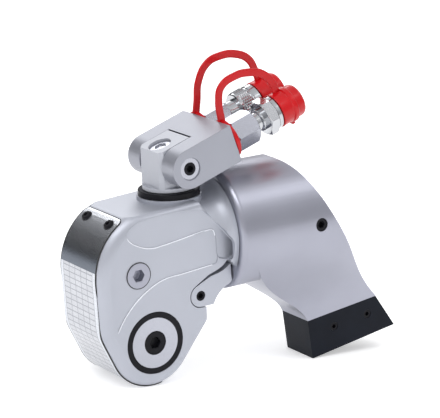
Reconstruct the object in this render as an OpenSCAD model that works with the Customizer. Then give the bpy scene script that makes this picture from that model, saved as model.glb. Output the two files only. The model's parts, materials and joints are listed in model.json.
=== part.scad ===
// Square-drive hydraulic torque wrench with a reaction arm and a two-axis swivel.
// X runs along the cylinder to the reaction arm, Y along the drive out of the square, Z up.
// The origin is on the drive axis, in the plane where a socket seats.

/* [Housing] */
// Thickness across the flat sides
body_t = 62; // [60:0.5:68]
// Radius of the nose round the drive axis
nose_r = 33.5; // [33:0.5:36]
// Radius of the upper front curve
head_r = 47.7; // [46:0.1:49]
// Rounding of the front edges
edge_r = 9; // [6:0.5:10]
// Height of the top face above the cylinder axis
top_rise = 30; // [29:0.5:32]
// Slope of the top face, in degrees
top_slope = 3.5; // [2:0.5:5]
// Width of the inner cavity
cavity_w = 39; // [38.6:0.1:41]

/* [Front shroud] */
// Width of the shroud
shroud_w = 50; // [46:0.5:52]
// Thickness of the shroud
shroud_t = 2.5; // [1.8:0.1:2.8]
// Distance of the shroud screws from the middle
shroud_screw_v = 15.75; // [12:0.25:18]

/* [Drive] */
// Side of the square drive
square = 25.4; // [24:0.1:25.8]
// Length of the square
square_len = 27; // [24:0.5:32]
// Height of the seat above the side of the housing
hub_h = 3; // [2:0.5:5]
// Radius of the retaining pin hole across the square
lock_hole_r = 3.2; // [2.5:0.1:4]
// Outer radius of the drive bushes
bush_r = 23; // [22:0.25:24.5]
// Radius of the journals in the bushes
journal_r = 18.7; // [17.5:0.1:19.5]

/* [Ratchet] */
// Number of ratchet teeth
teeth = 24; // [24:24:24]
// Radius over the tips of the teeth
ratchet_r = 26; // [25.6:0.1:26.2]
// Depth of the teeth
tooth_h = 2.8; // [2.4:0.1:3.2]
// Width of the ratchet wheel
ratchet_w = 20; // [18:0.5:20.5]

/* [Lever and piston] */
// Distance of the rod pin from the drive axis
lever_r = 65.5; // [65:0.1:66]
// Half of the swing of the lever, in degrees
half_swing = 13; // [12:0.5:13.5]
// Radius of the cylinder bore
bore_r = 19; // [17.5:0.25:20]
// Radius of the piston rod
rod_r = 10; // [8.5:0.25:11]
// Radius of the rod pin
rod_pin_r = 6.5; // [5.5:0.1:7]

/* [Reaction arm] */
// Outer radius of the arm round the cylinder
arm_r = 47.5; // [46:0.25:50]
// Rounding of the rim of the mouth
rim_r = 5; // [3:0.5:7]
// Distance of the mouth from the drive axis
mouth_x = 66.8; // [66.5:0.1:68]
// Outer radius of the spline
spline_r = 36; // [35:0.25:36.5]
// Length of the splined barrel
spline_len = 44; // [42:0.5:46]
// Distance of the foot behind the drive axis
foot_x = 140.6; // [136:0.2:150]
// Width of the foot
foot_w = 34.6; // [30:0.2:38]
// Radius of the plugs in the flanks
arm_plug_r = 5; // [4:0.25:6]

/* [Trigger] */
// Distance of the pivot behind the drive axis
trigger_x = 39.4; // [39:0.1:40]
// Drop of the pivot below the cylinder axis
trigger_drop = 37.6; // [37:0.1:38]
// Thickness of each cheek
cheek_t = 8; // [7:0.25:8.4]
// Radius of the pivot screws
trigger_screw_r = 3.7; // [3:0.1:4.2]
// Gap round the trigger
trigger_gap = 0.7; // [0.5:0.1:1]

/* [Swivel] */
// Distance of the swivel axis behind the drive axis
post_x = 34.5; // [34:0.25:34.75]
// Height of the yoke pivot above the top face
pivot_rise = 27.4; // [26:0.2:30]
// Radius of the black ring
ring_r = 22.5; // [21:0.25:24]
// Width of the post
post_w = 30; // [26:0.5:31]
// Radius of the rear of the post round the yoke pivot
post_eye_r = 21; // [20:0.25:22]
// Radius of the pivot pin
pivot_r = 8; // [6.5:0.25:9]

/* [Yoke and couplers] */
// Width of the yoke
yoke_w = 64; // [60:0.5:68]
// Half of the height of the yoke
yoke_h = 14.5; // [13.5:0.25:15]
// Distance of the end face from the pivot
yoke_len = 40.7; // [38:0.1:44]
// Tilt of the yoke above level, in degrees
tilt = 18.5; // [16:0.5:24]
// Distance of each coupler from the middle
port_v = 17.5; // [17:0.25:19]
// Width across the flats of the adapters
adapter_af = 23; // [20:0.5:25]
// Outer radius of the dust caps
cap_r = 13; // [12.6:0.1:14]
// Wall of the dust caps
cap_t = 1.6; // [1:0.1:2]
// Width of the straps
strap_w = 8.5; // [6:0.5:10]
// Thickness of the straps
strap_t = 2.2; // [1.6:0.1:3]

/* [Hidden] */
$fn = 64;
hull_fn = 40;
run_fit = 0.05;
seat_gap = 0.1;
free_gap = 0.3;
cut = 1;

mid_y = -(body_t / 2 + hub_h);
half_t = body_t / 2;
cavity_v = cavity_w / 2;

// Heights that follow the lever.
cyl_z = lever_r - 0.5;
top_z = cyl_z + top_rise;
pivot_z = top_z + pivot_rise;
trigger_z = cyl_z - trigger_drop;

// Front outline: nose, brow and head circles joined by their tangents.
nose_c = [0, 0];
brow_c = [-9.2, 18.5];
brow_r = nose_r - 0.5;
head_c = [4.4, cyl_z - 14];

// Rear corners of the flat sides, each a centre and a radius.
shoulder_c = [36, top_z - 4.5];
shoulder_r = 8;
heel_r = 9;
heel_c = [mouth_x - 1.8 - heel_r, cyl_z - 2];
heel_drop = 8;
lobe_c = [43.5, trigger_z - 10.9];
lobe_r = 6;
crisp_r = 2;

panel_depth = 0.6;

// Seam beside the shroud, the turn of its top edge and the rounding of its top corners.
shroud_seam = 0.35;
shroud_turn = 119;
shroud_corner_r = 5;
shroud_screw_turn = 128;

// Barrel and trumpet in front of the arm.
barrel_r = half_t + 2;
flare_x = 48;
flare_end_x = mouth_x - free_gap;
flare_r = arm_r - rim_r - 0.5;
spline_root_r = spline_r - 2.8;
spline_teeth = 24;
barrel_end_x = mouth_x + spline_len;

// Lever pin at rest, to the rear of the drive axis.
pin_x = lever_r * sin(half_swing);
pin_z = lever_r * cos(half_swing);
stroke = 2 * pin_x;

// Cylinder stations along X.
cavity_x = 28.5;
throat_r = 15.8;
gland_x = 31;
gland_len = 11;
piston_len = 14;
piston_x = gland_x + gland_len + stroke + 4.5;
cap_gap = 3;
seal_groove_x = 5;
seal_groove_w = 4;
seal_groove_d = 3;
end_cap_x = piston_x + piston_len + cap_gap;

// Rod eye round the lever pin.
eye_r = 12;
eye_w = ratchet_w - 1;
eye_drop = cyl_z - pin_z + free_gap;
eye_rise = max(lever_r - cyl_z, 0) + free_gap;
pin_play = 0.15;

// Lever plates.
plate_ring_r = nose_r - shroud_t - 1;
plate_eye_r = 11;
plate_in = ratchet_w / 2 + 0.5;
plate_t = cavity_v - plate_in - 0.4;

// Pawls, each with its pivot and the corner that meets the ratchet.
drive_pawl_c = [15, 36];
drive_pawl_tip = [-3, ratchet_r + 0.7];
drive_pawl_top = drive_pawl_c[1] + 0.6;
drive_pawl_pin_r = 3;

// Spacer of the lever plates, in the room between the drive pawl and the rod eye.
spacer_room = lever_r - eye_r - drive_pawl_top;
spacer_c = [-4, drive_pawl_top + 0.645 * spacer_room];
spacer_r = 0.237 * spacer_room;

// Holding pawl behind the shroud.
hold_pawl_c = on_circle(brow_c, brow_r - 7.3, 166.5);
hold_pawl_tip = on_circle([0, 0], ratchet_r + 0.7, 162.1);
hold_pawl_pin_r = 3.5;
pawl_eye_r = 5.3;
pawl_w = ratchet_w - 1;
ratchet_phase = 11.7;

// Drive shaft stations from the middle plane.
shaft_r = 13;
shaft_teeth = 18;
disc_in = 22;
screw_head_r = 8.4;
screw_head_h = 6;
screw_r = 5;

// Side plug in the near wall.
plug_c = [-11, cyl_z - 13.1];
plug_r = 9.5;

// Trigger outline relative to its pivot, and the latch in the mouth of the arm.
trigger_c = [trigger_x, trigger_z];
trigger_eye_r = 8.2;
trigger_lock = -3;
trigger_press = 6;
cheek_in = half_t - cheek_t;
latch_t = 4;
latch_z = trigger_z + 11.6;
latch_h = 2.6;
latch_tooth_h = 1.8;
latch_end_x = mouth_x + 12.2;
latch_groove = [mouth_x + 7.6, mouth_x + 13.4];

// Bore of the arm.
arm_bore_r = spline_r + 0.5;
arm_groove_r = arm_bore_r + 3;
arm_spline_x = mouth_x + 14;
arm_end_x = barrel_end_x + 4;
arm_plug_c = [foot_x - 5.6, cyl_z + 2];
arm_plug_depth = 11;

// Underside of the arm at the mouth, and where its flanks turn into the leg.
arm_belly_r = 70;
arm_belly_z = cyl_z - arm_r + 5;
leg_turn = -22;
leg_ease = 20.7;

// Foot of the arm and the shoe under it.
foot_front = [foot_x, -15.6];
foot_rear = [foot_x + 62.7, -7.6];
shoe_rear = [foot_x + 79.9, -34];
shoe_front = [foot_x + 3.8, -46];
tenon_w = 16;
shoe_screw_c = [[foot_x + 24, -24.5], [foot_x + 54.8, -20.7]];
shoe_screw_r = 3.2;

// Swivel stations along Z.
seat_z = top_z + post_x * tan(top_slope) + 1.2;
flange_h = 2.6;
ring_h = 4.6;
ring_z = seat_z;
neck_r = 15.3;
flange_r = 17;
base_r = 19;
base_h = 2.8;
base_z = ring_z + ring_h + free_gap;
stem_r = 12;
stem_len = 8.5;
post_front = 15;
post_plug_r = 8.5;
pivot_screw_r = 4.5;

// Yoke pocket round the post, and the ports in its end face.
pocket_r = post_eye_r + 1;
pocket_w = post_w + 2 * free_gap;
port_r = 8;
port_depth = 10;

// Coupler stations along the port axis, from the end face of the yoke.
strap_ring_t = 3.6;
hex_x = strap_ring_t + 0.4;
hex_len = 20;
male_neck_len = 9;
male_nut_len = 8;
male_flange_len = 4;
male_flange_r = 12.5;
male_neck_r = 7;
male_tip_r = 9;
male_tip_len = 13;
female_neck_len = 10;
female_neck_r = 9;
female_tip_len = 12;
female_tip_r = 10.8;
sleeve_r = 13.5;
sleeve_len = 18;
strap_ring_r = 15;

male_x = hex_x + hex_len;
male_cap_x = male_x + male_neck_len + male_nut_len + male_flange_len;
female_x = hex_x + hex_len;
sleeve_x = female_x + female_neck_len;
female_cap_x = sleeve_x + sleeve_len + free_gap;
cap_body_len = 14;
cap_end_len = 7;

// Centre lines of the straps beside the couplers, along the port axis and above it.
near_strap_path = [[2, 14], [5, 29], [10.5, 37.5], [24.5, 39.7], [35, 37], [45, 31], [51, 20], [51.5, 13.3]];
far_strap_path = [
  [2, 14], [6, 22], [12, 34.5], [23.5, 44], [36, 44.2], [48, 39.7], [57, 31], [59.3, 20], [59.5, 13.3]
];

// Shared shapes

function on_circle(c, r, a) = [c[0] + r * cos(a), c[1] + r * sin(a)];

function bezier(p, steps) = [
  for (i = [0:steps]) let (t = i / steps, s = 1 - t)
    s * s * s * p[0] + 3 * s * s * t * p[1] + 3 * s * t * t * p[2] + t * t * t * p[3]
];

function star(n, tip, root) = [
  for (i = [0:2 * n - 1]) on_circle([0, 0], i % 2 == 0 ? tip : root, 180 * i / n)
];

function saw(n, tip, root, phase) = [
  for (i = [0:n - 1], k = [0, 1])
    on_circle([0, 0], k == 0 ? root : tip, phase + 360 * i / n + 0.6 * k)
];

function spline_pt(p, i, t) =
  let (
    a = p[max(i - 1, 0)],
    b = p[i],
    c = p[i + 1],
    d = p[min(i + 2, len(p) - 1)]
  )
  0.5 * (2 * b + (c - a) * t + (2 * a - 5 * b + 4 * c - d) * t * t + (3 * b - a - 3 * c + d) * t * t * t);

function smooth_path(p, steps) = concat(
  [for (i = [0:len(p) - 2], k = [0:steps - 1]) spline_pt(p, i, k / steps)],
  [p[len(p) - 1]]
);

function side_of(p, i, d) =
  let (
    a = p[max(i - 1, 0)],
    b = p[min(i + 1, len(p) - 1)],
    n = [a[1] - b[1], b[0] - a[0]] / norm(b - a)
  )
  p[i] + d * n;

// Outline along a middle line, with the given thickness.
function ribbon(p, t) = concat(
  [for (i = [0:len(p) - 1]) side_of(p, i, t / 2)],
  [for (i = [len(p) - 1:-1:0]) side_of(p, i, -t / 2)]
);

module mid() {
  translate([0, mid_y, 0]) children();
}

// A side outline in X and Z, given a thickness along Y about the middle plane.
module slab(t) {
  rotate([90, 0, 0]) linear_extrude(t, center = true) children();
}

// A front outline in Y and Z, carried along X.
module along_x(x, length) {
  translate([x, 0, 0]) rotate([90, 0, 90]) linear_extrude(length) children();
}

module rod_x(r, x, length) {
  translate([x, 0, 0]) rotate([0, 90, 0]) cylinder(r = r, h = length);
}

// A round along Y from one distance off the middle plane to another.
module rod_y(c, r, v0, v1) {
  translate([c[0], v0, c[1]]) rotate([-90, 0, 0]) cylinder(r = r, h = v1 - v0);
}

module hex_y(c, af, v0, v1) {
  translate([c[0], v0, c[1]]) rotate([-90, 0, 0]) cylinder(d = af / cos(30), h = v1 - v0, $fn = 6);
}

module both_sides() {
  children();
  mirror([0, 1, 0]) children();
}

module tube_x(r_out, r_in, x, length) {
  difference() {
    rod_x(r_out, x, length);
    rod_x(r_in, x - cut, length + 2 * cut);
  }
}

// Two circles and the tangents between them.
module link_outline(c1, r1, c2, r2) {
  d = c2 - c1;
  turn = atan2(d[1], d[0]);
  lean = acos((r1 - r2) / norm(d));
  translate(c1) circle(r = r1);
  translate(c2) circle(r = r2);
  polygon([
    on_circle(c1, r1, turn + lean), on_circle(c2, r2, turn + lean),
    on_circle(c2, r2, turn - lean), on_circle(c1, r1, turn - lean)
  ]);
}

// Direction of the outer normal where a tangent joins two circles on their left.
function tangent_turn(c1, r1, c2, r2) =
  let (d = c2 - c1)
  atan2(d[1], d[0]) + acos((r1 - r2) / norm(d));

function arc(c, r, from, to, steps) = [
  for (i = [0:steps]) on_circle(c, r, from + (to - from) * i / steps)
];

// Front outline, drawn in by a distance: the head, the brow and the nose in turn.
module front_outline(inset) {
  to_brow = tangent_turn(brow_c, brow_r, head_c, head_r);
  to_nose = tangent_turn(nose_c, nose_r, brow_c, brow_r);
  polygon(concat(
    arc(head_c, head_r - inset, -30, to_brow, 52),
    arc(brow_c, brow_r - inset, to_brow, to_nose, 6),
    arc(nose_c, nose_r - inset, to_nose, 330, 32)
  ));
}

// A disc with rounded edges, as thick as the housing.
module puck(c, r, e) {
  translate([c[0], 0, c[1]]) rotate([90, 0, 0]) rotate_extrude($fn = hull_fn)
    polygon(concat(
      [[0, -half_t]],
      [for (a = [-90:15:0]) [r - e + e * cos(a), -half_t + e + e * sin(a)]],
      [for (a = [0:15:90]) [r - e + e * cos(a), half_t - e + e * sin(a)]],
      [[0, half_t]]
    ));
}

module coil(r, wire, length, turns) {
  sides = 6;
  per_turn = 12;
  steps = turns * per_turn;
  rise = (length - 2 * wire) / steps;
  points = [
    for (i = [0:steps], k = [0:sides - 1])
      let (a = 360 * i / per_turn, b = 360 * k / sides, q = r + wire * cos(b))
        [q * cos(a), q * sin(a), wire + rise * i + wire * sin(b)]
  ];
  walls = [
    for (i = [0:steps - 1], k = [0:sides - 1])
      let (n = (k + 1) % sides)
        [i * sides + k, (i + 1) * sides + k, (i + 1) * sides + n, i * sides + n]
  ];
  first = [for (k = [0:sides - 1]) k];
  last = [for (k = [sides - 1:-1:0]) steps * sides + k];
  polyhedron(points, concat(walls, [first, last]), convexity = 4);
}

// Places

module at_cylinder() {
  mid() translate([0, 0, cyl_z]) children();
}

// The lever frame: its middle line up, then leaned to the rear at rest.
module at_lever() {
  mid() rotate([0, half_swing, 0]) children();
}

module at_pivot() {
  mid() translate([post_x, 0, pivot_z]) children();
}

module at_post() {
  mid() translate([post_x, 0, 0]) children();
}

module at_yoke() {
  at_pivot() rotate([0, -tilt, 0]) children();
}

module at_port(side) {
  at_yoke() translate([yoke_len, side * port_v, 0]) children();
}

// Housing

module shroud_side_mask() {
  polygon([
    [-nose_r * 2, -nose_r * 2], [4, -nose_r * 2], [4, -nose_r * 0.7],
    [-8, 0], [-8, 60],
    on_circle(head_c, head_r * 0.8, shroud_turn), on_circle(head_c, head_r * 1.3, shroud_turn),
    [-nose_r * 3, 120]
  ]);
}

module shroud_outline(inset, out) {
  intersection() {
    difference() {
      front_outline(-out);
      front_outline(inset);
    }
    shroud_side_mask();
  }
}

// The body of the shroud, its top corners rounded.
module shroud_form(w, inset, out) {
  difference() {
    slab(w) shroud_outline(inset, out);
    head_place(shroud_turn) for (s = [-1, 1])
      translate([-shroud_corner_r, s * (w / 2 - shroud_corner_r), -shroud_corner_r]) difference() {
        translate([0, s > 0 ? 0 : -2 * shroud_corner_r, 0]) cube(2 * shroud_corner_r);
        translate([0, 0, -cut]) cylinder(r = shroud_corner_r, h = 2 * shroud_corner_r + 2 * cut);
      }
  }
}

module top_bar() {
  corner = 5;
  translate([0, 0, top_z]) rotate([0, -top_slope, 0])
    along_x(-80, 240)
      union() {
        translate([-half_t + corner, -240]) square([body_t - 2 * corner, 240]);
        translate([-half_t, -240]) square([body_t, 240 - corner]);
        for (s = [-1, 1])
          translate([s * (half_t - corner), -corner]) circle(r = corner);
      }
}

module head_block() {
  intersection() {
    hull() {
      puck(nose_c, nose_r, edge_r);
      puck(brow_c, brow_r, edge_r);
      puck(head_c, head_r, edge_r);
      puck(shoulder_c, shoulder_r, crisp_r);
      puck(heel_c, heel_r, crisp_r);
      puck(heel_c - [0, heel_drop], heel_r, crisp_r);
      puck(lobe_c, lobe_r, crisp_r);
    }
    top_bar();
  }
}

// Outline of the flat sides, where the barrel is cut back level with them.
module flat_outline() {
  hull() {
    translate([-nose_r, 0]) square([nose_r, shoulder_c[1]]);
    translate(shoulder_c) circle(r = shoulder_r, $fn = hull_fn);
    translate(heel_c) circle(r = heel_r, $fn = hull_fn);
    translate(heel_c - [0, heel_drop]) circle(r = heel_r, $fn = hull_fn);
  }
}

module trumpet() {
  rise = flare_r - barrel_r;
  run = flare_end_x - flare_x;
  translate([0, 0, cyl_z]) rotate([0, 90, 0]) rotate_extrude()
    polygon(concat(
      [[0, cavity_x], [barrel_r, cavity_x]],
      [for (a = [0:15:90]) [barrel_r + rise * (1 - cos(a)), flare_x + run * sin(a)]],
      [[0, flare_end_x]]
    ));
}

module cavity_outline() {
  circle(r = nose_r - shroud_t);
  rotate(-half_swing) link_outline([0, 0], plate_ring_r + 1, [0, lever_r], plate_eye_r + 1);
  intersection() {
    front_outline(shroud_t);
    translate([-nose_r * 2, 0]) square([nose_r * 2 + cavity_x, cyl_z + throat_r]);
  }
}

module trigger_swept() {
  for (a = [trigger_lock, 0, trigger_press / 2, trigger_press])
    translate(trigger_c) rotate(a) offset(delta = trigger_gap) trigger_outline();
}

module panel_outline() {
  translate([0, cyl_z]) polygon(concat(
    bezier([[-30, -52], [-22, -37], [-8, -25], [8, -20]], 8),
    [[46, -16.5]],
    bezier([[50, -16.2], [54.6, -15.8], [54.6, -15.8], [54.8, -9]], 4),
    bezier([[54.4, 1], [53.8, 10], [53, 10], [46, 9.8]], 4),
    bezier([[12, 6.2], [0, 4.5], [-10, 7], [-19, 14.5]], 6),
    bezier([[-28, 7], [-34, -7], [-34.5, -35], [-30, -52]], 8)
  ));
}

module housing_cuts() {
  slab(cavity_w) cavity_outline();
  shroud_form(shroud_w + 2 * shroud_seam, shroud_t, 3);
  rod_y([0, 0], bush_r + run_fit, -half_t - cut, half_t + cut);
  rod_y(plug_c, plug_r + run_fit, -half_t - cut, 0);
  rod_y(hold_pawl_c, hold_pawl_pin_r + run_fit, -cavity_v - 6, cavity_v + 6);
  translate([0, 0, cyl_z]) {
    rod_x(throat_r, cavity_x - cut, gland_x);
    rod_x(bore_r, gland_x, barrel_end_x);
  }
  both_sides() {
    translate([0, cheek_in - trigger_gap + arm_r / 2, 0]) slab(arm_r) trigger_swept();
    rod_y(trigger_c, trigger_screw_r - 0.5, 10, cheek_in);
    translate([flare_x, cheek_in - latch_t - trigger_gap, latch_z - 4])
      cube([latch_end_x + 2 - flare_x, latch_t + 2 * trigger_gap, 12]);
    translate([0, half_t + 10, 0]) slab(20) flat_outline();
    translate([0, half_t, 0]) slab(2 * panel_depth) panel_outline();
  }
  translate([trigger_x + 4.5, -arm_r, 0]) cube([40, 2 * arm_r, trigger_z + 6.1]);
  translate([52, 0, trigger_z + 2]) cylinder(r = 4, h = 12);
  translate([post_x, 0, seat_z - stem_len - 0.5]) cylinder(r = stem_r + run_fit, h = 20);
  translate([post_x, 0, seat_z]) cylinder(r = ring_r + 1, h = 20);
  for (s = [-1, 1])
    translate([0, s * shroud_screw_v, 0]) head_place(shroud_screw_turn)
      translate([0, 0, -9]) cylinder(r = 2.5, h = 20);
}

// A place on the head, its height along the outer normal.
module head_place(a) {
  p = on_circle(head_c, head_r, a);
  translate([p[0], 0, p[1]]) rotate([0, 90 - a, 0]) children();
}

module housing() {
  color("gainsboro") mid() difference() {
    union() {
      head_block();
      trumpet();
      translate([0, 0, cyl_z]) along_x(flare_end_x - cut, spline_len + free_gap + cut)
        polygon(star(spline_teeth, spline_r, spline_root_r));
      translate([post_x, 0, seat_z - 8]) cylinder(r = ring_r + 1, h = 8);
    }
    housing_cuts();
  }
}

module front_shroud() {
  color("silver") mid() difference() {
    shroud_form(shroud_w, shroud_t - seat_gap, 0);
    for (s = [-1, 1])
      translate([0, s * shroud_screw_v, 0]) head_place(shroud_screw_turn)
        translate([0, 0, -9]) cylinder(r = 2.6, h = 20);
  }
}

module shroud_screws() {
  head_h = 1.6;
  color("black") mid() for (s = [-1, 1])
    translate([0, s * shroud_screw_v, 0]) head_place(shroud_screw_turn) difference() {
      union() {
        translate([0, 0, -8.5]) cylinder(r = 2.4, h = 9);
        translate([0, 0, 0.1]) cylinder(r1 = 4.4, r2 = 3.2, h = head_h);
      }
      translate([0, 0, 0.4]) cylinder(r = 1.6, h = head_h + cut, $fn = 6);
    }
}

module side_plug() {
  color("silver") mid() difference() {
    rod_y(plug_c, plug_r, -half_t, -cavity_v - 0.6);
    hex_y(plug_c, 8, -half_t - cut, -half_t + 6);
  }
}

module drive_bushes() {
  color("black") mid() both_sides() difference() {
    rod_y([0, 0], bush_r, cavity_v + 0.2, half_t - 0.2);
    rod_y([0, 0], journal_r + run_fit, 0, half_t + cut);
  }
}

module rod_gland() {
  color("goldenrod") at_cylinder() difference() {
    tube_x(bore_r - run_fit, rod_r + run_fit, gland_x, gland_len);
    tube_x(rod_r + 3, rod_r - 2, gland_x + 4, 4);
  }
}

module rod_seal() {
  color("dimgray") at_cylinder()
    tube_x(rod_r + 3 - seat_gap / 2, rod_r + run_fit, gland_x + 4 + seat_gap / 2, 4 - seat_gap);
}

module end_cap() {
  length = barrel_end_x - end_cap_x;
  color("gray") at_cylinder() difference() {
    rod_x(bore_r - run_fit, end_cap_x, length);
    tube_x(bore_r + cut, bore_r - 3, end_cap_x + 4, 3.5);
    translate([barrel_end_x - 7, 0, 0]) rotate([0, 90, 0]) cylinder(d = 14 / cos(30), h = 7 + cut, $fn = 6);
  }
}

module end_cap_seal() {
  color("dimgray") at_cylinder()
    tube_x(bore_r - run_fit, bore_r - 3 + seat_gap / 2, end_cap_x + 4 + seat_gap / 2, 3.5 - seat_gap);
}

module holding_pawl_pin() {
  color("gray") mid() rod_y(hold_pawl_c, hold_pawl_pin_r, -cavity_v - 5.6, cavity_v + 5.6);
}

module holding_pawl_spring() {
  wire = 0.45;
  wall_x = brow_c[0] - sqrt(pow(brow_r - shroud_t, 2) - pow(hold_pawl_tip[1] + 4 - brow_c[1], 2));
  length = hold_pawl_tip[0] - 7.8 - wall_x - 0.4;
  color("silver") mid() translate([wall_x + 0.4, 0, hold_pawl_tip[1] + 4]) rotate([0, 90, 0])
    coil(2.2, wire, length, max(1, floor((length - 2 * wire) / (2.4 * wire))));
}

// Trigger

// A point of the rear edge, clear of the arm when the trigger is at its lock.
function trigger_rear(z) = [mouth_x - trigger_x - free_gap + z * tan(trigger_lock), z];

module trigger_outline() {
  circle(r = trigger_eye_r);
  polygon(concat(
    [[-6.2, 5], [-1, 8.6]],
    bezier([[9, 13], [16, 14.4], [21, 15], [25.6, 19.4]], 6),
    [trigger_rear(19.4), trigger_rear(7)],
    bezier([[25, 5], [17, 2.5], [13, -3], [10.6, -8.2]], 6),
    [[1, -8.2]]
  ));
}

module trigger_lever() {
  color("silver") mid() difference() {
    union() {
      both_sides() {
        translate([0, (cheek_in + half_t) / 2, 0]) slab(cheek_t) translate(trigger_c) trigger_outline();
        translate([mouth_x - 8, cheek_in - latch_t, latch_z])
          cube([latch_end_x - mouth_x + 8, latch_t, latch_h]);
        translate([latch_groove[0] + 1, cheek_in - latch_t, latch_z - latch_tooth_h])
          cube([latch_end_x - latch_groove[0] - 1, latch_t, latch_h]);
        translate([mouth_x - 8, cheek_in - latch_t, latch_z]) cube([6, latch_t + cut, latch_h]);
      }
      slab(2 * cheek_in + cut) translate(trigger_c)
        polygon([[5.6, -8], [10.6, -8], [14, -1.5], [19, 2.5], [5.6, 2.5]]);
    }
    rod_y(trigger_c, trigger_screw_r + run_fit, -half_t - cut, half_t + cut);
  }
}

module trigger_screws() {
  color("black") mid() both_sides() difference() {
    union() {
      rod_y(trigger_c, trigger_screw_r, cheek_in - 0.4, half_t - 0.4);
      rod_y(trigger_c, trigger_screw_r - 0.6, 11, cheek_in);
    }
    hex_y(trigger_c, 4, half_t - 3.4, half_t);
  }
}

module trigger_spring() {
  color("silver") mid() translate([52, 0, trigger_z + 2.6]) coil(3, 0.5, 10.5, 5);
}

// Drive

module ratchet_wheel() {
  color("dimgray") mid() difference() {
    union() {
      slab(ratchet_w) polygon(saw(teeth, ratchet_r, ratchet_r - tooth_h, ratchet_phase));
      rod_y([0, 0], journal_r, -disc_in + seat_gap, disc_in - seat_gap);
    }
    slab(body_t) polygon(star(shaft_teeth, shaft_r + seat_gap, shaft_r - 1.4 + seat_gap));
  }
}

module square_drive() {
  tip = 17;
  color("dimgray") difference() {
    union() {
      mid() translate([0, 1, 0]) slab(2 * disc_in) polygon(star(shaft_teeth, shaft_r, shaft_r - 1.4));
      mid() rod_y([0, 0], journal_r, disc_in, half_t + hub_h);
      intersection() {
        translate([-square / 2, -1, -square / 2]) cube([square, square_len + 1, square]);
        rotate([-90, 0, 0]) translate([0, 0, -1]) union() {
          cylinder(r = tip, h = square_len - 1);
          translate([0, 0, square_len - 1]) cylinder(r1 = tip, r2 = tip - 2, h = 2);
        }
      }
    }
    translate([0, square_len / 2, -square]) cylinder(r = lock_hole_r, h = 2 * square);
    mid() rod_y([0, 0], screw_r + run_fit, -disc_in - cut, 0);
  }
}

module drive_retainer() {
  color("silver") mid() difference() {
    rod_y([0, 0], journal_r, -half_t, -disc_in);
    rod_y([0, 0], screw_head_r + 0.3, -half_t - cut, -half_t + screw_head_h + 0.5);
    rod_y([0, 0], screw_r + 0.3, -half_t, 0);
  }
}

module retainer_screw() {
  color("black") mid() difference() {
    union() {
      rod_y([0, 0], screw_head_r, -half_t + 0.4, -half_t + screw_head_h + 0.4);
      rod_y([0, 0], screw_r, -half_t + screw_head_h, -2);
    }
    hex_y([0, 0], 8, -half_t - cut, -half_t + 4.5);
  }
}

// Lever

module drive_plates() {
  color("gray") at_lever() both_sides() translate([0, plate_in + plate_t / 2, 0]) difference() {
    slab(plate_t) link_outline([0, 0], plate_ring_r, [0, lever_r], plate_eye_r);
    rod_y([0, 0], journal_r + run_fit, -plate_t, plate_t);
    rod_y([0, lever_r], rod_pin_r + run_fit, -plate_t, plate_t);
    rod_y(spacer_c, spacer_r + run_fit, -plate_t, plate_t);
    rod_y(drive_pawl_c, drive_pawl_pin_r + run_fit, -plate_t, plate_t);
  }
}

module lever_pin(c, r) {
  reach = plate_in + plate_t;
  at_lever() rod_y(c, r, -reach, reach);
}

module rod_pin() {
  color("silver") lever_pin([0, lever_r], rod_pin_r);
}

module plate_spacer() {
  color("silver") lever_pin(spacer_c, spacer_r);
}

module drive_pawl_pin() {
  color("silver") lever_pin(drive_pawl_c, drive_pawl_pin_r);
}

module drive_pawl_spring() {
  wire = 0.5;
  low = drive_pawl_top + 0.1;
  length = spacer_c[1] - spacer_r - low - 0.1;
  color("silver") at_lever() translate([spacer_c[0] + 2, 0, low])
    coil(2.6, wire, length, max(1, floor((length - 2 * wire) / (2.4 * wire))));
}

module drive_pawl() {
  color("dimgray") at_lever() difference() {
    slab(pawl_w) union() {
      translate(drive_pawl_c) circle(r = pawl_eye_r);
      polygon([
        drive_pawl_tip, drive_pawl_c + [0, -pawl_eye_r], drive_pawl_c + [0, pawl_eye_r],
        [drive_pawl_c[0] - 8, drive_pawl_top], [drive_pawl_tip[0] - 3, drive_pawl_top],
        drive_pawl_tip + [-3.4, 4]
      ]);
    }
    rod_y(drive_pawl_c, drive_pawl_pin_r + run_fit, -pawl_w, pawl_w);
  }
}

module holding_pawl() {
  color("dimgray") mid() difference() {
    slab(pawl_w) union() {
      translate(hold_pawl_c) circle(r = pawl_eye_r);
      polygon([
        hold_pawl_tip, hold_pawl_c + [5.2, 1], hold_pawl_c + [-5, -1.8],
        hold_pawl_tip + [-7, 6], hold_pawl_tip + [-3.2, -1.2]
      ]);
    }
    rod_y(hold_pawl_c, hold_pawl_pin_r + run_fit, -pawl_w, pawl_w);
  }
}

// Piston

module piston_rod() {
  slot_w = rod_pin_r + pin_play;
  color("silver") at_cylinder() difference() {
    union() {
      translate([pin_x, 0, 0]) slab(eye_w) union() {
        circle(r = eye_r);
        translate([0, -rod_r + 1]) square([eye_r + 4, 2 * rod_r - 2]);
      }
      rod_x(rod_r, pin_x + eye_r - 1, piston_x + piston_len - pin_x - eye_r + 1);
    }
    translate([pin_x, 0, 0]) slab(eye_w + cut) union() {
      translate([0, -eye_drop]) circle(r = slot_w);
      translate([0, eye_rise]) circle(r = slot_w);
      translate([-slot_w, -eye_drop]) square([2 * slot_w, eye_drop + eye_rise]);
    }
  }
}

module piston_head() {
  color("gray") at_cylinder() difference() {
    tube_x(bore_r - run_fit, rod_r + run_fit / 2, piston_x, piston_len);
    tube_x(bore_r + cut, bore_r - seal_groove_d, piston_x + seal_groove_x, seal_groove_w);
  }
}

module piston_seal() {
  root_r = bore_r - seal_groove_d + seat_gap / 2;
  color("dimgray") at_cylinder()
    tube_x(bore_r - run_fit, root_r, piston_x + seal_groove_x + seat_gap / 2, seal_groove_w - seat_gap);
}

// Reaction arm

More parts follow.
